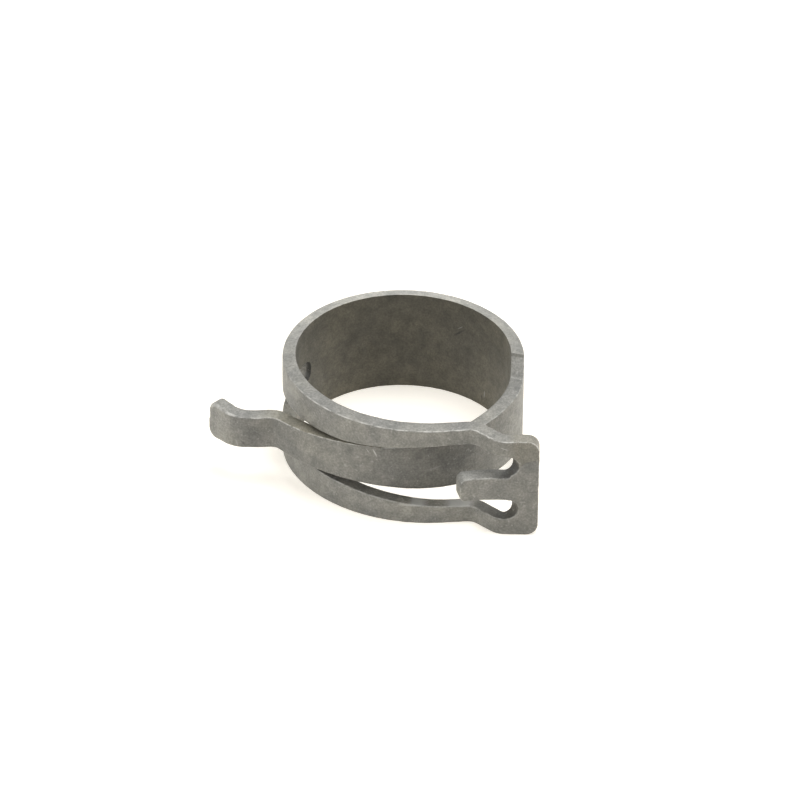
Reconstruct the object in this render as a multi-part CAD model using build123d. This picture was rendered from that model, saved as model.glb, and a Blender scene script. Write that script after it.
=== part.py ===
from build123d import *
import os
from math import cos, sin, radians

os.makedirs("parts", exist_ok=True)

# Spring hose clamp: one strip of spring steel, blanked flat, then rolled and bent.
# The band stands on its lower edge. The ring axis is +Z, the two ends are on the -Y side.
# Plan paths follow the middle of the sheet. All lengths are in mm, all angles in degrees.

band_width = 12.0
sheet = 1.5
inner_radius = 11.6
ring_radius = inner_radius + sheet / 2
mid_height = band_width / 2

# rails: the two outer strips left beside the window, carrying the plate
shoulder_angle = 2.0
rail_leave_angle = 202.0
rail_arc_radius = 15.1
rail_arc_end = 276.0
rail_straight = 2.81
flare_first_radius = 1.95
flare_first_turn = 48.0
flare_straight = 2.04
flare_second_radius = 1.75
flare_second_turn = 42.0
plate_length = 3.38
plate_corner = 1.3

# window between the rails: its half height at stations along the ring, then along the rail arc
window_tip_radius = 1.25
window_tip_angle = 156.0
window_neck_angle = 170.0
window_half_at_neck = 1.78
window_half_at_leave = 2.33
window_side_angle = 238.0
window_half_at_side = 3.0
window_front_angle = 258.0
window_half_at_front = 3.6
window_half_wide = 4.0
lobe_inset = 0.47

# finger: the narrow tab cut free from the plate, lying over the tongue
finger_half = 1.48
finger_straight = 1.75
finger_curl_radius = 13.0
finger_curl = 17.0
finger_corner = 0.7
finger_root_inset = 3.2
finger_overlap = 0.2

# tongue: the middle strip that passes through the window and ends in the ear
tongue_leave_angle = -97.0
tongue_arc_radius = 18.75
tongue_arc_turn = 39.2
tongue_half_at_shoulder = 5.58
ramp_end_angle = -6.4
tongue_half_at_ramp = 3.9
tongue_side_angle = -34.0
tongue_half_at_side = 3.8
tongue_front_angle = -64.0
tongue_half_at_front = 3.1
tongue_half_at_leave = 2.62
ear_half = 1.87
ear_tip_half = 2.25
ear_bend_radius = 2.05
ear_bend_turn = 52.2
ear_bow_radius = 15.0
ear_bow_turn = 8.0
ear_straight = 0.15
ear_curl_radius = 2.9
ear_curl_turn = 45.0
ear_tip_length = 2.6
ear_corner = 1.2

# the press leaves the outer edges of the strip drawn down at a slope
edge_slope = 0.2

# how far a cutting solid reaches past each face of the sheet
cut_margin = 0.4


def on_circle(centre, radius, angle):
    return (centre[0] + radius * cos(radians(angle)), centre[1] + radius * sin(radians(angle)))


def turn(radius, angle):
    """A bend of the path: positive angles turn left."""
    return ("turn", radius, angle)


def line(length):
    return ("line", length, 0.0)


def left_of(place, distance):
    x, y, heading = place
    return (x - distance * sin(radians(heading)), y + distance * cos(radians(heading)))


def walk(place, step, share=1.0):
    """Place and heading after a share of one step."""
    x, y, heading = place
    kind, size, angle = step
    if kind == "line":
        run = size * share
        return (x + run * cos(radians(heading)), y + run * sin(radians(heading)), heading)
    side = size if angle > 0 else -size
    cx, cy = left_of(place, side)
    heading = heading + angle * share
    return (cx + side * sin(radians(heading)), cy - side * cos(radians(heading)), heading)


def walk_all(place, steps):
    for step in steps:
        place = walk(place, step)
    return place


def side_edge(place, step, offset):
    """One side of the strip along one step, offset to the left of the path."""
    start = left_of(place, offset)
    end = left_of(walk(place, step), offset)
    if step[0] == "line":
        return Line(start, end)
    middle = left_of(walk(place, step, 0.5), offset)
    return ThreePointArc(start, middle, end)


def strip_face(place, steps, half):
    """Plan outline of the sheet along a path."""
    edges = []
    here = place
    for step in steps:
        edges.append(side_edge(here, step, half))
        edges.append(side_edge(here, step, -half))
        here = walk(here, step)
    edges.append(Line(left_of(place, half), left_of(place, -half)))
    edges.append(Line(left_of(here, half), left_of(here, -half)))
    return make_face(edges)


def strip(place, steps, low, high, half=sheet / 2):
    """The sheet along a path, from one height to another."""
    return Pos(0, 0, low) * extrude(strip_face(place, steps, half), high - low)


def slope_outer_edges(piece, place, steps, offset, free_end):
    """Slope every blanked edge on the outer face of a strip, at its free end too if it has one.

    The outer face lies at the given offset to the left of the path."""
    edges = []
    here = place
    for step in steps:
        edges.append(side_edge(here, step, offset))
        here = walk(here, step)
    outline = Wire(edges)
    last_point = Vector(*left_of(here, offset))
    sloped = []
    for edge in piece.edges():
        plan = [Vector(edge.position_at(share).X, edge.position_at(share).Y, 0) for share in (0, 0.5, 1)]
        on_face = all(outline.distance_to(point) < 0.01 for point in plan)
        upright = (plan[0] - plan[2]).length < 0.001
        at_free_end = free_end and (plan[0] - last_point).length < 0.001
        if on_face and (at_free_end or not upright):
            sloped.append(edge)
    return chamfer(sloped, edge_slope)


def round_free_corners(tab, end, radius):
    """Round the two corners at the free end of a strip, seen square to its face."""
    corners = [edge for edge in tab.edges() if abs(edge.length - sheet) < 0.01
               and Vector(edge.center().X - end[0], edge.center().Y - end[1], 0).length < 0.01]
    return fillet(corners, radius)


def climbing_edge(centre, radius, start, end, low, high):
    """A helix about an upright axis, rising or falling from start to end angle."""
    rise = high - low
    sweep = end - start
    pitch = abs(rise) * 360 / sweep
    if rise > 0:
        curve = Edge.make_helix(pitch, rise, radius)
        return Pos(centre[0], centre[1], low) * Rot(0, 0, start) * curve
    curve = Edge.make_helix(pitch, -rise, radius, lefthand=True)
    return Pos(centre[0], centre[1], high) * Rot(0, 0, end) * curve


def sloping_cut(centre, radius, start, end, half_start, half_end, depth):
    """Two cutting solids along a sloping edge of the blank, mirrored about the middle of the band.

    The edge runs from half_start to half_end off the middle. With a positive depth the cut
    reaches away from the middle, with a negative depth towards it."""
    low = mid_height + half_start
    high = mid_height + half_end
    reach = sheet / 2 + cut_margin
    near = climbing_edge(centre, radius - reach, start, end, low, high)
    far = climbing_edge(centre, radius + reach, start, end, low, high)
    slope = Face.make_surface_from_curves(near, far)
    upper = Solid.extrude(slope, Vector(0, 0, depth))
    lower = mirror(upper, about=Plane.XY.offset(mid_height))
    return upper + lower


def window_cut(centre, radius, start, end, half_start, half_end):
    """Opening between the rails over one stretch of arc."""
    smaller = min(half_start, half_end)
    larger = max(half_start, half_end)
    return sloping_cut(centre, radius, start, end, half_start, half_end, -(larger + 2 * smaller) / 2)


def narrowing_cut(centre, radius, start, end, half_start, half_end):
    """Waste above and below the tongue over one stretch of arc."""
    return sloping_cut(centre, radius, start, end, half_start, half_end, band_width)


ring_centre = (0.0, 0.0)
rail_centre = on_circle(ring_centre, ring_radius - rail_arc_radius, rail_leave_angle)
tongue_centre = on_circle(ring_centre, ring_radius - tongue_arc_radius, tongue_leave_angle)
shoulder_point = on_circle(ring_centre, ring_radius, shoulder_angle)
rail_start = (shoulder_point[0], shoulder_point[1], shoulder_angle + 90)
tongue_start = (shoulder_point[0], shoulder_point[1], shoulder_angle - 90)

rail_steps = [
    turn(ring_radius, rail_leave_angle - shoulder_angle),
    turn(rail_arc_radius, rail_arc_end - rail_leave_angle),
    line(rail_straight),
    turn(flare_first_radius, -flare_first_turn),
    line(flare_straight),
    turn(flare_second_radius, flare_second_turn),
    line(plate_length),
]
tongue_steps = [
    turn(ring_radius, tongue_leave_angle - shoulder_angle),
    turn(tongue_arc_radius, -tongue_arc_turn),
    turn(ear_bend_radius, ear_bend_turn),
    turn(ear_bow_radius, -ear_bow_turn),
    line(ear_straight),
    turn(ear_curl_radius, -ear_curl_turn),
    line(ear_tip_length),
]
window_wide_start = walk_all(rail_start, rail_steps[:2])
plate_end = walk_all(rail_start, rail_steps)
finger_root_x = plate_end[0] - finger_root_inset


def window():
    """The keyhole window: round tip, widening sides, then two round lobes beside the finger."""
    cut = window_cut(ring_centre, ring_radius, window_tip_angle, window_neck_angle,
                     window_tip_radius, window_half_at_neck)
    cut += window_cut(ring_centre, ring_radius, window_neck_angle, rail_leave_angle,
                      window_half_at_neck, window_half_at_leave)
    cut += window_cut(rail_centre, rail_arc_radius, rail_leave_angle, window_side_angle,
                      window_half_at_leave, window_half_at_side)
    cut += window_cut(rail_centre, rail_arc_radius, window_side_angle, window_front_angle,
                      window_half_at_side, window_half_at_front)
    cut += window_cut(rail_centre, rail_arc_radius, window_front_angle, rail_arc_end,
                      window_half_at_front, window_half_wide)
    tip = Rot(0, 0, window_tip_angle) * Rot(0, 90, 0) * Cylinder(window_tip_radius, sheet * 2)
    cut += Pos(*on_circle(ring_centre, ring_radius, window_tip_angle), mid_height) * tip
    lobe_radius = (window_half_wide - finger_half) / 2
    lobe_x = finger_root_x - lobe_inset
    cut += strip(window_wide_start, rail_steps[2:-1], mid_height - window_half_wide,
                 mid_height + window_half_wide, sheet / 2 + cut_margin)
    for side in (-1, 1):
        height = mid_height + side * (finger_half + lobe_radius)
        lobe = Rot(90, 0, 0) * Cylinder(lobe_radius, sheet * 2)
        cut += Pos(lobe_x, plate_end[1], height) * lobe
    return cut


def tongue_waste():
    """Everything above and below the small shoulder step, its ramp and the tapering tongue."""
    waste = narrowing_cut(ring_centre, ring_radius, ramp_end_angle, shoulder_angle,
                          tongue_half_at_ramp, tongue_half_at_shoulder)
    waste += narrowing_cut(ring_centre, ring_radius, tongue_side_angle, ramp_end_angle,
                           tongue_half_at_side, tongue_half_at_ramp)
    waste += narrowing_cut(ring_centre, ring_radius, tongue_front_angle, tongue_side_angle,
                           tongue_half_at_front, tongue_half_at_side)
    waste += narrowing_cut(ring_centre, ring_radius, tongue_leave_angle, tongue_front_angle,
                           tongue_half_at_leave, tongue_half_at_front)
    waste += narrowing_cut(tongue_centre, tongue_arc_radius, tongue_leave_angle - tongue_arc_turn,
                           tongue_leave_angle, ear_half, tongue_half_at_leave)
    return waste


def rails_and_plate():
    band = strip(rail_start, rail_steps, 0, band_width)
    band = round_free_corners(band, plate_end, plate_corner)
    band = slope_outer_edges(band, rail_start, rail_steps, -sheet / 2, True)
    return band - window()


def finger():
    """Narrow tab running back from the plate, bent clear of the tongue at its free end."""
    steps = [line(finger_straight), turn(finger_curl_radius, finger_curl)]
    root = (finger_root_x + finger_overlap, plate_end[1], 180.0)
    tab = strip(root, steps, mid_height - finger_half, mid_height + finger_half)
    tab = round_free_corners(tab, walk_all(root, steps), finger_corner)
    return slope_outer_edges(tab, root, steps, sheet / 2, True)


def ear_end():
    """Curl and flat end of the ear, growing steadily wider towards the free end."""
    start = walk_all(tongue_start, tongue_steps[:-2])
    end = walk_all(tongue_start, tongue_steps)
    piece = strip(start, tongue_steps[-2:], 0, band_width)
    travel = Vector(cos(radians(start[2])), sin(radians(start[2])), 0)
    run = travel.dot(Vector(end[0] - start[0], end[1] - start[1], 0))
    far_half = 2 * ear_tip_half - ear_half
    outline = Polyline((0, -ear_half), (2 * run, -far_half), (2 * run, far_half), (0, ear_half), close=True)
    sideways = travel.cross(Vector(0, 0, 1))
    side_view = Plane(origin=(start[0], start[1], mid_height), x_dir=travel, z_dir=sideways)
    return piece & extrude(side_view * make_face(outline), 2 * run, both=True)


def tongue():
    """The tapering strip from the shoulder through the window, with the bent ear at its end."""
    curved_steps = tongue_steps[:2]
    curved = strip(tongue_start, curved_steps, 0, band_width) - tongue_waste()
    curved = slope_outer_edges(curved, tongue_start, curved_steps, sheet / 2, False)
    here = walk_all(tongue_start, curved_steps)
    ear_steps = tongue_steps[2:]
    ear = strip(here, ear_steps[:-2], mid_height - ear_half, mid_height + ear_half)
    ear = ear + ear_end()
    ear = round_free_corners(ear, walk_all(here, ear_steps), ear_corner)
    return curved + slope_outer_edges(ear, here, ear_steps, sheet / 2, True)


clamp = rails_and_plate() + finger() + tongue()
export_step(clamp, "parts/clamp.step")
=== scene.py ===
import math

import bpy
import numpy as np
from mathutils import Matrix, Vector, noise
from mathutils.geometry import delaunay_2d_cdt


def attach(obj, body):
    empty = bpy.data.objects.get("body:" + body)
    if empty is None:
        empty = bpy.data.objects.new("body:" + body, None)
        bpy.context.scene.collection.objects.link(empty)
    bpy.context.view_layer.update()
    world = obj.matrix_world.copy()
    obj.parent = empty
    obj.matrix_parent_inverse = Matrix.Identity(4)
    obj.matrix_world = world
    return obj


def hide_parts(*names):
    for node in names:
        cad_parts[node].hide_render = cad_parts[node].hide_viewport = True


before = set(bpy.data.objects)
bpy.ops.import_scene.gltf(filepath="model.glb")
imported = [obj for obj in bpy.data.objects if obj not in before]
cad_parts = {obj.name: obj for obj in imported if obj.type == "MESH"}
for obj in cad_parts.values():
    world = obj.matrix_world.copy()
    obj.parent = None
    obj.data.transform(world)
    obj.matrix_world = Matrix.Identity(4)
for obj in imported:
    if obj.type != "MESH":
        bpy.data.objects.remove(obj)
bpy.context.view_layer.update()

# Spring hose clamp, dressed as one fine sheet-metal mesh.
# The blank is drawn flat in u (along the strip) and v (across it, 0 to 12), then bent along
# the same plan paths as the solid. n runs through the sheet, outwards. Lengths here are in mm.

SHEET = 1.5
HALF_SHEET = SHEET / 2
RING = 12.35
BAND = 12.0
MID = BAND / 2
GRID_STEP = 0.32
EDGE_STEP = 0.26
CORNER_STEP = 0.16
STEP_REACH = 1.4
STEP_EASE = 0.9


def turn(radius, angle):
    """A bend of the path: positive angles turn left."""
    return ("turn", radius, math.radians(angle))


def line(length):
    return ("line", length, 0.0)


def walk(place, step, share=1.0):
    """Place and heading after a share of one step."""
    x, y, heading = place
    kind, size, angle = step
    if kind == "line":
        run = size * share
        return (x + run * math.cos(heading), y + run * math.sin(heading), heading)
    side = size if angle > 0 else -size
    cx, cy = x - side * math.sin(heading), y + side * math.cos(heading)
    heading = heading + angle * share
    return (cx + side * math.sin(heading), cy - side * math.cos(heading), heading)


def lay_out(place, steps):
    """The path as stretches: start length, end length, start place and step."""
    stretches = []
    done = 0.0
    for step in steps:
        length = step[1] if step[0] == "line" else step[1] * abs(step[2])
        stretches.append((done, done + length, place, step))
        place = walk(place, step)
        done += length
    return stretches


def place_on(path, length):
    """Place and heading at a length along a path."""
    for first, last, place, step in path:
        if length <= last or last == path[-1][1]:
            return walk(place, step, (length - first) / (last - first))


SHOULDER = math.radians(2)
RAIL_ARC = 15.1
shoulder_point = (RING * math.cos(SHOULDER), RING * math.sin(SHOULDER))
rail_path = lay_out((*shoulder_point, SHOULDER + math.pi / 2), [
    turn(RING, 200), turn(RAIL_ARC, 74), line(2.81), turn(1.95, -48), line(2.04), turn(1.75, 42),
    line(3.38)])
tongue_path = lay_out((*shoulder_point, SHOULDER - math.pi / 2), [
    turn(RING, -99), turn(18.75, -39.2), turn(2.05, 52.2), turn(15, -8), line(0.15),
    turn(2.9, -45), line(2.6)])
RAIL_END = rail_path[-1][1]
PLATE_START = rail_path[-1][0]
TONGUE_END = tongue_path[-1][1]
TONGUE_LEAVE = tongue_path[1][1]
EAR_CURL = tongue_path[4][1]
plate_end = walk(rail_path[-1][2], rail_path[-1][3])

FINGER_HALF = 1.48
FINGER_RUN = 3.0
finger_path = lay_out((plate_end[0] - FINGER_RUN, plate_end[1], math.pi), [line(1.75), turn(13, 17)])
FINGER_ROOT = RAIL_END - FINGER_RUN
FINGER_TIP = FINGER_ROOT - finger_path[-1][1]
LOBE_RADIUS = (4.0 - FINGER_HALF) / 2
LOBE_END = PLATE_START - 0.29 + LOBE_RADIUS


def on_ring(angle):
    """Length along the strip at an angle round the ring, counted from the shoulder."""
    return math.radians(angle) * RING


def on_rail(angle):
    """Length along the strip at an angle round the rail arc, which follows 200 degrees of ring."""
    return on_ring(200) + math.radians(angle) * RAIL_ARC


# corners of the blank: length along the strip, height off the middle, corner radius.
# The rolled strip isn't quite even, so the halves above and below the middle differ a little.
outer_upper = [
    (RAIL_END, MID, 1.3),
    (0.0, MID, 0.1),
    (-0.12, 5.58, 0.1),
    (on_ring(-8.4), 3.9, 0.5),
    (on_ring(-36), 3.8, 30),
    (on_ring(-66), 3.1, 40),
    (on_ring(-99), 2.62, 60),
    (-TONGUE_LEAVE, 2.05, 9),
    (-EAR_CURL, 2.02, 8),
    (-TONGUE_END + 0.02, 2.25, 1.2),
]
outer_lower = outer_upper[:-3] + [
    (-TONGUE_LEAVE, 1.9, 20),
    (-EAR_CURL, 1.95, 8),
    (-TONGUE_END + 0.02, 2.42, 1.1),
]
window_upper = [
    (on_ring(154) - 1.25, 1.2, 1.19),
    (on_ring(168), 1.7, 12),
    (on_ring(200), 2.12, 40),
    (on_rail(36), 2.74, 40),
    (on_rail(56), 3.48, 25),
    (on_rail(74), 4.0, 25),
    (LOBE_END, 4.0, LOBE_RADIUS - 0.001),
    (LOBE_END, FINGER_HALF, LOBE_RADIUS - 0.001),
    (FINGER_TIP, FINGER_HALF, 0.7),
]
window_lower = window_upper[:2] + [
    (on_ring(200), 2.42, 40),
    (on_rail(36), 2.95, 40),
    (on_rail(56), 3.46, 25),
    (on_rail(74), 3.92, 25),
] + window_upper[6:]


def round_the_middle(upper, lower):
    """Closed list of corners: the upper half, then the lower half back the other way."""
    return [(u, MID + h, r) for u, h, r in upper] + [(u, MID - h, r) for u, h, r in reversed(lower)]


def rounded_loop(corners):
    """Closed outline through the corners, each rounded, in steps short enough for the mesh."""
    points = []
    for i, (u, v, radius) in enumerate(corners):
        here = np.array((u, v))
        before = np.array(corners[i - 1][:2]) - here
        after = np.array(corners[(i + 1) % len(corners)][:2]) - here
        before_length, after_length = np.linalg.norm(before), np.linalg.norm(after)
        before, after = before / before_length, after / after_length
        angle = math.pi - math.acos(max(-1.0, min(1.0, float(before @ after))))
        reach = radius * math.tan(angle / 2)
        limit = 0.5 * min(before_length, after_length)
        if reach > limit:
            radius, reach = radius * limit / reach, limit
        bisector = before + after
        centre = here + bisector / np.linalg.norm(bisector) * radius / math.cos(angle / 2)
        first, last = here + before * reach - centre, here + after * reach - centre
        start = math.atan2(first[1], first[0])
        sweep = (math.atan2(last[1], last[0]) - start + math.pi) % (2 * math.pi) - math.pi
        step = CORNER_STEP if radius < 5 else EDGE_STEP
        pieces = max(2, math.ceil(abs(sweep) * radius / step))
        for k in range(pieces + 1):
            at = start + sweep * k / pieces
            points.append(centre + radius * np.array((math.cos(at), math.sin(at))))
    loop = []
    for i, point in enumerate(points):
        run = points[(i + 1) % len(points)] - point
        gap = np.linalg.norm(run)
        if gap > 1e-4:
            cuts = max(1, math.ceil(gap / EDGE_STEP))
            loop += [point + run * k / cuts for k in range(cuts)]
    return np.array(loop)


def inward_normals(loop):
    """Direction into the material at each outline point, long enough to keep offsets parallel."""
    ahead = np.roll(loop, -1, axis=0) - loop
    ahead /= np.linalg.norm(ahead, axis=1)[:, None]
    along = np.stack([-ahead[:, 1], ahead[:, 0]], 1)
    left = along + np.roll(along, 1, axis=0)
    left /= np.linalg.norm(left, axis=1)[:, None]
    return left / np.clip((left * along).sum(1), 0.5, 1)[:, None]


def eased_at_the_step(loop, normals):
    """Inward directions that turn slowly past the shoulder step, so that inner lines don't cross."""
    eased = normals.copy()
    gaps = np.linalg.norm(np.roll(loop, -1, axis=0) - np.roll(loop, 1, axis=0), axis=1)
    for k in np.nonzero(np.abs(loop[:, 0]) < STEP_REACH)[0]:
        away = np.linalg.norm(loop - loop[k], axis=1)
        weights = gaps * np.clip(1 - away / STEP_EASE, 0, 1)
        eased[k] = weights @ normals / weights.sum()
    return eased


def inside(points, loop):
    """Even-odd test of many points against one outline."""
    x, y = points[:, 0], points[:, 1]
    found = np.zeros(len(points), bool)
    for (x0, y0), (x1, y1) in zip(loop, np.roll(loop, -1, axis=0)):
        if y0 != y1:
            found ^= ((y0 > y) != (y1 > y)) & (x < (x1 - x0) * (y - y0) / (y1 - y0) + x0)
    return found


def distance_to(points, loop):
    """Distance of many points from one outline."""
    nearest = np.full(len(points), np.inf)
    for start, end in zip(loop, np.roll(loop, -1, axis=0)):
        run = end - start
        share = np.clip(((points - start) @ run) / (run @ run), 0, 1)
        nearest = np.minimum(nearest, np.hypot(*(points - start - share[:, None] * run).T))
    return nearest


def fade(value, first, last):
    """0 up to the first value, 1 from the last, even in between."""
    return min(1.0, max(0.0, (value - first) / (last - first)))


def tongue_half(u):
    """Half height of the tongue and ear at a length along them."""
    stations = sorted((-a, half) for a, half, _ in outer_upper if a <= 0)
    return float(np.interp(-u, [a for a, _ in stations], [half for _, half in stations]))


def on_finger(u, v):
    return FINGER_TIP - 1 < u < FINGER_ROOT and abs(v - MID) < FINGER_HALF + LOBE_RADIUS


def drawn_in(u, v, n):
    """Height after rolling: bending draws the outer face of the strip narrower than the inner."""
    outward = (n + HALF_SHEET) / SHEET
    if u >= 0:
        top = 0.30 - 0.13 * fade(u, 38, 50) - 0.10 * fade(u, 62, 68)
        if on_finger(u, v):
            return v - outward * (0.08 + 0.17 * fade(v - MID, 0, FINGER_HALF))
        return v - outward * top * fade(v, 9, BAND)
    top = 0.30 - 0.18 * fade(-u, 0, 8)
    return v - outward * top * fade((v - MID) / tongue_half(u), 0, 1)


FACE_SHARE = 0.95


def depth_of(u, v, n):
    """Depth through the sheet, with the small unevenness of rolled strip."""
    wide = noise.noise(Vector((u * 0.16, v * 0.2, 3.0)))
    fine = noise.noise(Vector((u * 0.8, v * 0.9, 11.0 + n)))
    return n * FACE_SHARE + 0.012 * wide + 0.006 * fine


def leaning_lobe(u, v, n):
    """Length along the strip after punching: the lobe walls at the plate lean with the depth."""
    near = fade(u, LOBE_END - 1.5, LOBE_END) * (1 - fade(u, LOBE_END + 0.1, LOBE_END + 1.6))
    return u + 0.32 * near * (n / HALF_SHEET - 0.2) * (1 - fade(abs(v - MID), 4.0, 5.0))


def on_blank(u, v, n):
    """A point of the bent strip from its place on the flat blank."""
    outward = 1
    u = leaning_lobe(u, v, n)
    if u < 0:
        x, y, heading = place_on(tongue_path, -u)
    elif on_finger(u, v):
        x, y, heading = place_on(finger_path, FINGER_ROOT - u)
    else:
        x, y, heading = place_on(rail_path, u)
        outward = -1
    depth = outward * depth_of(u, v, n)
    return (x - depth * math.sin(heading), y + depth * math.cos(heading), drawn_in(u, v, n))


FACE_MARGIN = 0.5
INNER_BREAK = 0.05


def outer_roll(u, v):
    """Radius of the drawn-over outer edge: small on the strip, soft round the end of the ear."""
    if u > 0 and v < MID:
        return 0.12 - 0.07 * fade(-v, -1.5, -0.2)
    return 0.12 + (0.30 if v > MID else 0.12) * fade(-u, EAR_CURL + 0.3, EAR_CURL + 3.2)


def edge_section(roll):
    """Section of the cut edge from the outer face round to the inner face.

    Each point is a distance in from the outline and a depth through the sheet."""
    section = [(max(0.33, roll + 0.06), HALF_SHEET)]
    for angle in (90, 66, 44, 22, 0):
        over = math.radians(angle)
        section.append((roll * (1 - math.cos(over)), HALF_SHEET - roll * (1 - math.sin(over))))
    wall_top = HALF_SHEET - roll
    section += [(0.0, wall_top - (wall_top + 0.3) * share) for share in (0.23, 0.44, 0.68, 1.0)]
    section.append((0.0, INNER_BREAK - HALF_SHEET))
    section.append((INNER_BREAK * 0.3, INNER_BREAK * 0.3 - HALF_SHEET))
    section.append((INNER_BREAK, -HALF_SHEET))
    section.append((0.15, -HALF_SHEET))
    return section


def face_grid(loops):
    """Points and triangles of the flat face between the innermost lines of the outlines."""
    lowest, highest = loops[0].min(0), loops[0].max(0)
    rows = np.arange(lowest[1], highest[1], GRID_STEP * math.sqrt(3) / 2)
    columns = np.arange(lowest[0], highest[0], GRID_STEP)
    grid = np.array([(u + GRID_STEP / 2 * (k % 2), v) for k, v in enumerate(rows) for u in columns])
    grid = grid[inside(grid, loops[0]) & ~inside(grid, loops[1])]
    room = np.minimum(distance_to(grid, loops[0]), distance_to(grid, loops[1]))
    grid = grid[room > GRID_STEP * 0.6]
    points = [Vector(p) for loop in loops for p in loop] + [Vector(p) for p in grid]
    sides = []
    first = 0
    for loop in loops:
        sides += [(first + k, first + (k + 1) % len(loop)) for k in range(len(loop))]
        first += len(loop)
    found, _, triangles, *_ = delaunay_2d_cdt(points, sides, [], 0, 1e-7)
    flat = np.array([tuple(p) for p in found])
    middles = flat[np.array(triangles)].mean(1)
    keep = inside(middles, loops[0]) & ~inside(middles, loops[1])
    return flat, [t for t, kept in zip(triangles, keep) if kept]


def roughened(loop):
    """The outline with the slight raggedness of a blanked edge, always inside the drawn line."""
    bites = []
    for u, v in loop:
        nicked = fade(v, 11, 11.9) * fade(u, 66.5, 67.5) * (1 - fade(u, 70.0, 71.0))
        bites.append(0.01 + 0.03 * noise.noise(Vector((u * 1.3, v * 1.3, 5.0)))
                     + nicked * (0.05 + 0.16 * noise.noise(Vector((u * 2.4, v, 8.0)))))
    return loop + inward_normals(loop) * np.clip(bites, 0, 0.15)[:, None]


def edge_wear_and_highlight(u, v, window):
    """How far the outer edge is rubbed bright, from 0 to 1, with a painted highlight on the top edges where
    the light catches them.
    """
    if window:
        return 0.6 if on_finger(u, v) and abs(v - MID) < FINGER_HALF + 0.1 else 0.4
    # lower edges get little: the painted highlight is on the top edges, where the light from above catches
    # them
    if v < MID - 1:
        return 0.15
    if u < 0:
        return 0.8
    return 0.35 + 0.5 * fade(u, 40, 48) + 0.15 * fade(u, 66, 68)


def wall_tone_and_shade(u, v, n, window):
    """Tone of the cut edge: the rim is rubbed lighter, with a painted sheen that peaks at the back; the
    window walls and the inner half of the tongue's upper wall carry painted shade.
    """
    # painted shade: the window walls are darkened where they lie in shade, darkest on the inner half at the
    # tip and deep in the lobes
    if window:
        if u < 37:
            return 0.75 if n > -0.2 else 0.22
        if on_finger(u, v) and abs(v - MID) < FINGER_HALF + 0.1:
            return 1.12 - 0.66 * fade(u, FINGER_ROOT - 2.2, FINGER_ROOT - 0.7)
        if u < 45:
            return 0.95
        if v > MID:
            return 0.66 - 0.2 * fade(u, 66, 69)
        return 0.66 + 0.12 * fade(u, 50, 60) - 0.33 * fade(u, 66, 69)
    # rim wall: lighter bare cut metal, with a painted sheen that peaks at the back of the ring
    if u >= 0:
        return 1.2 + 0.62 * math.sin(math.pi * fade(u, 3, 38)) - 0.14 * fade(u, 40, 50)
    if u < -34:
        return 1.22
    # painted shade on the inner half of the tongue's upper wall under the upper rail, a little painted light
    # on its outer half
    under_rail_shade = fade(-u, 14, 20) * (1 - fade(-u, 29, 33))
    return 1.0 - 0.65 * under_rail_shade * fade(-n, -0.45, 0.1) + 0.15 * under_rail_shade


# Tone along the tongue's outer face by length: painted shade where the upper rail shades it, painted light
# near the shoulder and on the ear
TONGUE_LIGHT_AND_SHADE = {0: 1.25, 5: 1.1, 10: 0.80, 15: 0.62, 18: 0.62, 22: 0.80, 26: 0.98, 35: 0.90, 38: 0.86,
               41: 1.22, 44: 1.34}


def face_light_and_shade(u, v, n):
    """Tone of the two faces, with painted light and shade: the inside of the ring painted dark as shade,
    lighter at its sides and foot where grazing light and floor bounce reach it; the tongue painted dark where
    the upper rail shades it; the outside of the ring lighter before the rails and the plate a little darker.
    """
    if n < 0:
        # painted shade inside the ring, lighter at its sides and foot where grazing light and floor bounce
        # reach
        sides = 0.34 * (1 - fade(u, 2, 11)) + 0.24 * fade(u, 24, 34)
        return 0.42 + sides + 0.09 * (1 - fade(v, 1, 5))
    if u < 0:
        # painted shade under the upper rail, painted light at the ends of the tongue
        return float(np.interp(-u, list(TONGUE_LIGHT_AND_SHADE), list(TONGUE_LIGHT_AND_SHADE.values())))
    lower_rail = (1 - fade(v, 3, 5)) * (1 - fade(u, 66, 68))
    return 1.0 + 0.16 * (1 - fade(u, 44, 50)) - 0.10 * fade(u, 68, 72) + 0.04 * lower_rail


def oiliness(u, v, n, wall):
    """Olive tint: the inside of the ring, and the upper edge of the tongue where it rubs."""
    if wall:
        return 0.9 * fade(-u, 16, 22) * (1 - fade(-u, 34, 37)) if v > MID else 0.3
    return 1.0 - 0.55 * fade(abs(u - 18), 10, 18) if n < 0 else 0.0


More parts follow.
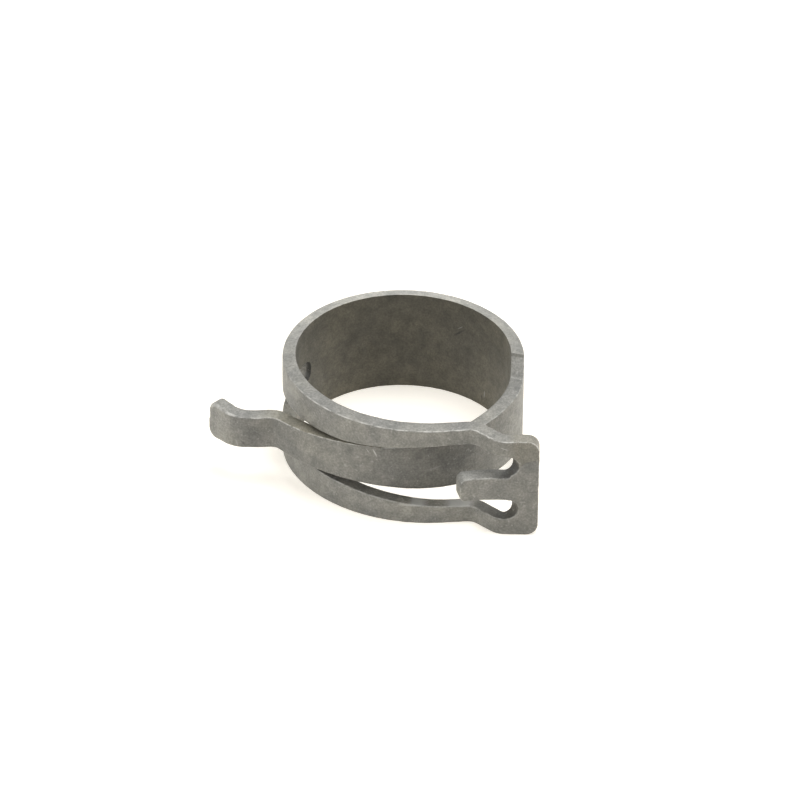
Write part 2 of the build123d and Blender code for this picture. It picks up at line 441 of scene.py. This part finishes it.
def build_strip():
    outlines = [roughened(rounded_loop(round_the_middle(*halves)))
                for halves in ((outer_upper, outer_lower), (window_upper, window_lower))]
    normals = [eased_at_the_step(loop, inward_normals(loop)) for loop in outlines]
    inner_lines = [loop + normal * FACE_MARGIN for loop, normal in zip(outlines, normals)]
    flat, triangles = face_grid(inner_lines)
    back_start = len(flat)
    blank = [(u, v, n) for n in (HALF_SHEET, -HALF_SHEET) for u, v in flat]
    marks = [(0.0, 0.0 if n > 0 else 1.0, face_light_and_shade(u, v, n), oiliness(u, v, n, False))
             for u, v, n in blank]
    faces = [tuple(t) for t in triangles]
    faces += [(c + back_start, b + back_start, a + back_start) for a, b, c in triangles]
    first = 0
    for loop, normal, window in zip(outlines, normals, (False, True)):
        count = len(loop)
        sections = [edge_section(outer_roll(u, v)) for u, v in loop]
        lines = [list(range(first, first + count))]
        for k in range(len(sections[0])):
            start = len(blank)
            for (u, v), inward, section in zip(loop, normal, sections):
                inset, n = section[k]
                blank.append((u + inward[0] * inset, v + inward[1] * inset, n))
                wall = inset < INNER_BREAK * 0.9
                tone_with_painted_light = wall_tone_and_shade(u, v, n, window) if wall else face_light_and_shade(u, v, n)
                wear_and_highlight = edge_wear_and_highlight(u, v, window) if 2 <= k <= 4 else 0.0
                marks.append((wear_and_highlight, 1.0 if n == -HALF_SHEET else 0.0, tone_with_painted_light, oiliness(u, v, n, wall)))
            lines.append(list(range(start, start + count)))
        lines.append([back_start + k for k in range(first, first + count)])
        for upper, lower in zip(lines, lines[1:]):
            for k in range(count):
                m = (k + 1) % count
                faces.append((upper[k], lower[k], lower[m], upper[m]))
        first += count
    mesh = bpy.data.meshes.new("clamp_strip")
    mesh.from_pydata([Vector(on_blank(*p)) * 0.001 for p in blank], [], faces)
    mesh.update()
    place = mesh.attributes.new("blank", "FLOAT_VECTOR", "POINT")
    place.data.foreach_set("vector", np.array(blank, np.float32).ravel())
    for name, values in zip(("edge", "back", "tone_with_painted_light", "oily"), np.array(marks, np.float32).T):
        mesh.attributes.new(name, "FLOAT", "POINT").data.foreach_set("value", values.copy())
    mesh.polygons.foreach_set("use_smooth", [True] * len(mesh.polygons))
    strip = bpy.data.objects.new("clamp_strip", mesh)
    bpy.context.scene.collection.objects.link(strip)
    return strip


class Recipe:
    """Short calls for the nodes of one material."""

    def __init__(self, name):
        self.material = bpy.data.materials.new(name)
        self.material.use_nodes = True
        self.nodes = self.material.node_tree.nodes
        self.links = self.material.node_tree.links
        self.shader = self.nodes["Principled BSDF"]
        self.space = self.nodes.new("ShaderNodeTexCoord")

    def feed(self, socket, value):
        if isinstance(value, bpy.types.NodeSocket):
            self.links.new(value, socket)
        elif isinstance(value, tuple):
            socket.default_value = (*value, 1)
        else:
            socket.default_value = value

    def carried(self, name, output="Fac"):
        """A value kept on the mesh."""
        node = self.nodes.new("ShaderNodeAttribute")
        node.attribute_name = name
        return node.outputs[output]

    def cloud(self, scale, detail=3.0, rough=0.5, stretch=(1, 1, 1)):
        """Noise in the part's own metres, stretched along its axes if asked."""
        node = self.nodes.new("ShaderNodeTexNoise")
        node.inputs["Scale"].default_value = scale
        node.inputs["Detail"].default_value = detail
        node.inputs["Roughness"].default_value = rough
        laid = self.nodes.new("ShaderNodeMapping")
        laid.inputs["Scale"].default_value = stretch
        self.links.new(self.space.outputs["Object"], laid.inputs["Vector"])
        self.links.new(laid.outputs["Vector"], node.inputs["Vector"])
        return node.outputs["Fac"]

    def ramp(self, value, stops):
        """Colours or levels at places of a value."""
        node = self.nodes.new("ShaderNodeValToRGB")
        while len(node.color_ramp.elements) < len(stops):
            node.color_ramp.elements.new(0.5)
        for element, (at, colour) in zip(node.color_ramp.elements, stops):
            element.position = at
            element.color = (*colour, 1) if isinstance(colour, tuple) else (colour, colour, colour, 1)
        self.links.new(value, node.inputs["Fac"])
        return node.outputs["Color"]

    def mix(self, kind, factor, first, second):
        node = self.nodes.new("ShaderNodeMix")
        node.data_type = "RGBA"
        node.blend_type = kind
        for place, value in ((0, factor), (6, first), (7, second)):
            self.feed(node.inputs[place], value)
        return node.outputs[2]

    def maths(self, kind, *values):
        node = self.nodes.new("ShaderNodeMath")
        node.operation = kind
        for socket, value in zip(node.inputs, values):
            self.feed(socket, value)
        return node.outputs[0]


def scratch(steel, across, along, start, end, width):
    """Level of one fine straight scratch between two places on the blank, 1 on its line."""
    run = (end[0] - start[0], end[1] - start[1])
    length = math.hypot(*run)
    du, dv = run[0] / length, run[1] / length
    u = steel.maths("SUBTRACT", along, start[0])
    v = steel.maths("SUBTRACT", across, start[1])
    forward = steel.maths("MULTIPLY_ADD", v, dv, steel.maths("MULTIPLY", u, du))
    beside = steel.maths("MULTIPLY_ADD", u, -dv, steel.maths("MULTIPLY", v, du))
    past = steel.maths("ABSOLUTE", steel.maths("SUBTRACT", forward, length / 2))
    end_fade = steel.maths("SUBTRACT", 1.0, steel.maths("DIVIDE", past, length / 2))
    aside = steel.maths("ABSOLUTE", beside)
    line_fade = steel.maths("SUBTRACT", 1.0, steel.maths("DIVIDE", aside, width))
    on_line = steel.maths("MAXIMUM", line_fade, 0.0)
    within = steel.maths("MAXIMUM", end_fade, 0.0)
    level = steel.maths("MULTIPLY", on_line, within)
    return steel.maths("MINIMUM", steel.maths("MULTIPLY", level, 2.0), 1.0)


def coated_steel():
    """Dull grey coated spring steel: fine grain, soft mottling, rubbed edges with a painted highlight, small
    scratches, and painted light and shade kept on the mesh.
    """
    steel = Recipe("coated_steel")
    steel.shader.inputs["Metallic"].default_value = 0.25
    blank = steel.nodes.new("ShaderNodeSeparateXYZ")
    steel.links.new(steel.carried("blank", "Vector"), blank.inputs[0])
    along, across = blank.outputs["X"], blank.outputs["Y"]
    back = steel.carried("back")
    outer_face = steel.maths("SUBTRACT", 1.0, back)
    tone_with_painted_light = steel.carried("tone_with_painted_light")

    base = steel.ramp(steel.cloud(210, 3), [(0.32, (0.232, 0.230, 0.215)), (0.68, (0.284, 0.277, 0.248))])
    patches = steel.ramp(steel.cloud(800, 5, 0.62), [(0.30, (0.76, 0.77, 0.77)), (0.70, (1.18, 1.17, 1.16))])
    grain = steel.ramp(steel.cloud(4600, 2), [(0.32, 0.80), (0.68, 1.15)])
    colour = steel.mix("MULTIPLY", 1.0, base, patches)
    colour = steel.mix("MULTIPLY", 1.0, colour, grain)

    # the tone kept on the mesh paints light and shade into the coating and lightens the rubbed rim, with a
    # ragged border
    ragged = steel.maths("MULTIPLY_ADD", steel.cloud(420, 4, 0.6), 0.24, -0.12)
    level = steel.maths("ADD", tone_with_painted_light, ragged)
    colour = steel.mix("MULTIPLY", 1.0, colour, level)
    colour = steel.mix("MULTIPLY", steel.carried("oily"), colour, (1.04, 0.985, 0.84))

    # faint ridge line on the plate where the bending tool ended, warmer above it; the dark line is painted
    # shade along the ridge
    curve = steel.maths("EXPONENT", steel.maths("MULTIPLY_ADD", along, -1.25, 70.6 * 1.25))
    above = steel.maths("SUBTRACT", across, steel.maths("MULTIPLY_ADD", curve, -2.6, 9.65))
    on_plate = steel.ramp(steel.maths("SUBTRACT", along, 70.2), [(0.0, 0.0), (1.0, 1.0)])
    on_plate = steel.maths("MULTIPLY", on_plate, steel.maths("SUBTRACT", 1.0, back))
    warm = steel.ramp(steel.maths("MULTIPLY_ADD", above, 2.0, 0.5), [(0.35, 0.0), (0.6, 1.0)])
    colour = steel.mix("MULTIPLY", steel.maths("MULTIPLY", on_plate, warm), colour, (1.02, 0.99, 0.92))
    crease_shade = steel.ramp(steel.maths("MULTIPLY_ADD", above, 2.0, 0.5), [(0.28, 0.0), (0.42, 1.0), (0.56, 0.0)])
    crease_shade = steel.maths("MULTIPLY", on_plate, crease_shade)
    colour = steel.mix("MULTIPLY", steel.maths("MULTIPLY", crease_shade, 0.5), colour, (0.5, 0.5, 0.5))

    # rubbed edges with a painted highlight along the top edges, broken up along their length
    broken = steel.ramp(steel.cloud(1000, 4, 0.7), [(0.42, 0.0), (0.62, 1.0)])
    rubbed_and_highlit = steel.maths("MULTIPLY", steel.carried("edge"), broken)
    colour = steel.mix("MIX", steel.maths("MULTIPLY", rubbed_and_highlit, 0.8), colour, (0.66, 0.65, 0.61))

    # light specks where the coating has flaked off the outside
    specks = steel.ramp(steel.cloud(2300, 3, 0.6), [(0.62, 0.0), (0.70, 1.0)])
    specks = steel.maths("MULTIPLY", steel.maths("MULTIPLY", specks, outer_face), 0.3)
    colour = steel.mix("MIX", specks, colour, (0.46, 0.45, 0.42))

    # single scratches and nicks: two places on the blank, width, and lighter or darker
    for start, end, width, side, shade in (
            ((-22.9, 8.3), (-22.4, 7.2), 0.10, outer_face, 0.60),
            ((-23.6, 8.2), (-23.2, 7.6), 0.07, outer_face, 0.45),
            ((-17.5, 5.4), (-15.6, 5.9), 0.14, outer_face, 0.24),
            ((-12.0, 6.4), (-10.8, 5.2), 0.10, outer_face, 0.22),
            ((13.0, 7.5), (11.3, 8.9), 0.16, back, 0.03),
            ((12.4, 8.6), (11.6, 9.2), 0.07, back, 0.30),
            ((33.6, 6.9), (33.2, 5.6), 0.25, back, 0.02),
            ((8.1, 2.3), (8.15, 1.2), 0.10, back, 0.40),
            ((8.6, 1.5), (8.5, 0.8), 0.14, back, 0.03),
            ((69.7, 11.2), (70.5, 10.9), 0.09, outer_face, 0.42),
            ((-38.9, 5.0), (-38.4, 4.3), 0.16, outer_face, 0.10),
            ((-39.3, 5.0), (-39.1, 4.1), 0.09, outer_face, 0.40),
            ((57.8, 2.2), (61.5, 2.3), 0.16, outer_face, 0.45),
            ((62.8, 2.1), (66.5, 2.0), 0.12, outer_face, 0.42)):
        level = steel.maths("MULTIPLY", scratch(steel, across, along, start, end, width), side)
        mark = (shade, shade * 0.985, shade * 0.93)
        colour = steel.mix("MIX", steel.maths("MULTIPLY", level, 0.7), colour, mark)

    steel.links.new(colour, steel.shader.inputs["Base Color"])
    rough = steel.ramp(steel.cloud(1300, 3), [(0.3, 0.46), (0.7, 0.62)])
    wear_and_highlight = steel.maths("MULTIPLY", rubbed_and_highlit, 0.12)
    steel.links.new(steel.maths("SUBTRACT", rough, wear_and_highlight), steel.shader.inputs["Roughness"])
    bump = steel.nodes.new("ShaderNodeBump")
    bump.inputs["Strength"].default_value = 0.5
    bump.inputs["Distance"].default_value = 0.00003
    height = steel.maths("MULTIPLY_ADD", steel.cloud(1500, 3), 1.5, steel.cloud(6000, 3))
    steel.links.new(height, bump.inputs["Height"])
    steel.links.new(bump.outputs["Normal"], steel.shader.inputs["Normal"])
    return steel.material


strip = build_strip()
strip.data.materials.append(coated_steel())
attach(strip, "root")
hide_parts("clamp")


def pale_floor():
    """White sweep under the part. For the eye and for reflections it is lifted to plain white."""
    mesh = bpy.data.meshes.new("floor")
    mesh.from_pydata([(-2, -2, 0), (2, -2, 0), (2, 2, 0), (-2, 2, 0)], [], [(0, 1, 2, 3)])
    floor = bpy.data.objects.new("floor", mesh)
    bpy.context.scene.collection.objects.link(floor)
    material = bpy.data.materials.new("floor")
    material.use_nodes = True
    nodes, links = material.node_tree.nodes, material.node_tree.links
    shader = nodes["Principled BSDF"]
    shader.inputs["Base Color"].default_value = (0.86, 0.83, 0.77, 1)
    shader.inputs["Roughness"].default_value = 0.9
    shader.inputs["Specular IOR Level"].default_value = 0.1
    shader.inputs["Emission Color"].default_value = (1, 0.955, 0.87, 1)
    path = nodes.new("ShaderNodeLightPath")
    seen = nodes.new("ShaderNodeMath")
    seen.operation = "MAXIMUM"
    links.new(path.outputs["Is Camera Ray"], seen.inputs[0])
    links.new(path.outputs["Is Glossy Ray"], seen.inputs[1])
    lift = nodes.new("ShaderNodeMath")
    lift.operation = "MULTIPLY"
    lift.inputs[1].default_value = 0.56
    links.new(seen.outputs[0], lift.inputs[0])
    links.new(lift.outputs[0], shader.inputs["Emission Strength"])
    mesh.materials.append(material)


def surroundings(strength):
    """Even studio light all round. The eye and the reflections see it as white."""
    world = bpy.data.worlds.new("studio")
    bpy.context.scene.world = world
    world.use_nodes = True
    nodes, links = world.node_tree.nodes, world.node_tree.links
    background = nodes["Background"]
    background.inputs["Color"].default_value = (1, 1, 1, 1)
    path = nodes.new("ShaderNodeLightPath")
    seen = nodes.new("ShaderNodeMath")
    seen.operation = "MAXIMUM"
    links.new(path.outputs["Is Camera Ray"], seen.inputs[0])
    links.new(path.outputs["Is Glossy Ray"], seen.inputs[1])
    level = nodes.new("ShaderNodeMapRange")
    level.inputs["To Min"].default_value = strength
    level.inputs["To Max"].default_value = 1.0
    links.new(seen.outputs[0], level.inputs["Value"])
    links.new(level.outputs["Result"], background.inputs["Strength"])


def soft_lamp(name, spot, size, power):
    """Round area lamp aimed at the part."""
    lamp = bpy.data.lights.new(name, "AREA")
    lamp.shape = "DISK"
    lamp.size = size
    lamp.energy = power
    holder = bpy.data.objects.new(name, lamp)
    holder.location = spot
    holder.rotation_euler = (-Vector(spot)).to_track_quat("-Z", "Y").to_euler()
    bpy.context.scene.collection.objects.link(holder)


def photo_camera():
    """Long lens from the front and 34 degrees above, as the photograph was taken."""
    elevation, roll = math.radians(33.99), math.radians(-0.64)
    ahead = Vector((0, math.cos(elevation), -math.sin(elevation)))
    level_up = Vector((0, math.sin(elevation), math.cos(elevation)))
    right = Vector((1, 0, 0)) * math.cos(roll) - level_up * math.sin(roll)
    up = Vector((1, 0, 0)) * math.sin(roll) + level_up * math.cos(roll)
    data = bpy.data.cameras.new("camera")
    data.lens = 247.5
    data.sensor_width = 36
    data.clip_start, data.clip_end = 0.05, 20
    camera = bpy.data.objects.new("camera", data)
    camera.matrix_world = Matrix((right, up, -ahead)).transposed().to_4x4()
    camera.location = right * -0.000262 + up * 0.00488 - ahead * 0.6002
    bpy.context.scene.collection.objects.link(camera)
    bpy.context.scene.camera = camera


pale_floor()
surroundings(0.2)
soft_lamp("over", (0.08, 0.08, 0.6), 0.4, 2.35)
soft_lamp("left", (-0.45, -0.22, 0.3), 0.35, 1.25)
soft_lamp("right", (0.48, -0.12, 0.28), 0.35, 1.1)
photo_camera()
bpy.context.scene.view_settings.view_transform = "Standard"
